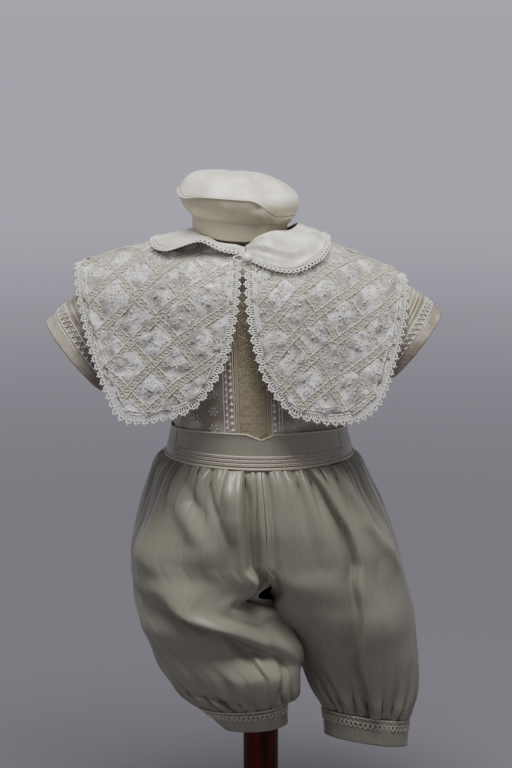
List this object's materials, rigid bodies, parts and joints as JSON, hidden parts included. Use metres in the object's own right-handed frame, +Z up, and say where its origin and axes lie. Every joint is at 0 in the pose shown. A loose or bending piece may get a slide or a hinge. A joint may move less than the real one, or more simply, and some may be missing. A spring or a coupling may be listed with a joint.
{
  "type": "christening suit on a child's dress form",
  "caption": "White christening suit with beret, trellised cape, short-sleeved shirt and gathered knickerbockers, worn by a limbless child's dress form on a post.",
  "frame": {"origin": "centre of the base's underside, on the floor", "axes": "+Z up along the post, -Y the way the wearer's chest faces, +X to the viewer's right (the wearer's left)"},
  "size_m": [0.3919, 0.22, 0.693],
  "materials": {
    "white_satin": "white satin, soft sheen",
    "cape_satin": "white satin crossed by beige soutache braids",
    "white_lace": "matt white cotton guipure",
    "beige_braid": "matt beige braid",
    "shirt_satin": "ivory satin with lace medallions",
    "ivory_dupioni": "ivory slubbed dupioni silk",
    "form_cloth": "smooth stretched jersey",
    "dark_red_wood": "dark red-brown varnished wood",
    "pearl": "glossy pearl"
  },
  "bodies": {
    "root": {"base": "dark_red_wood", "beret_band": "white_satin", "beret_crown_side": "white_satin", "beret_crown_top": "white_satin", "cape_back": "cape_satin", "cape_front_left": "cape_satin", "cape_front_right": "cape_satin", "cape_lace_back": "white_lace", "cape_lace_front_left": "white_lace", "cape_lace_front_right": "white_lace", "collar_left": "white_satin", "collar_left_picot": "white_lace", "collar_right": "white_satin", "collar_right_picot": "white_lace", "cuff_left": "ivory_dupioni", "cuff_left_lace": "white_lace", "cuff_right": "ivory_dupioni", "cuff_right_lace": "white_lace", "form_torso": "form_cloth", "front_insert": "beige_braid", "leg_left_back": "ivory_dupioni", "leg_left_front": "ivory_dupioni", "leg_right_back": "ivory_dupioni", "leg_right_front": "ivory_dupioni", "neck_button": "pearl", "post": "dark_red_wood", "shirt_back": "shirt_satin", "shirt_front": "shirt_satin", "sleeve_left": "shirt_satin", "sleeve_right": "shirt_satin", "waist_braid": "beige_braid", "waistband_back": "ivory_dupioni", "waistband_front": "ivory_dupioni"}
  },
  "joints": []
}
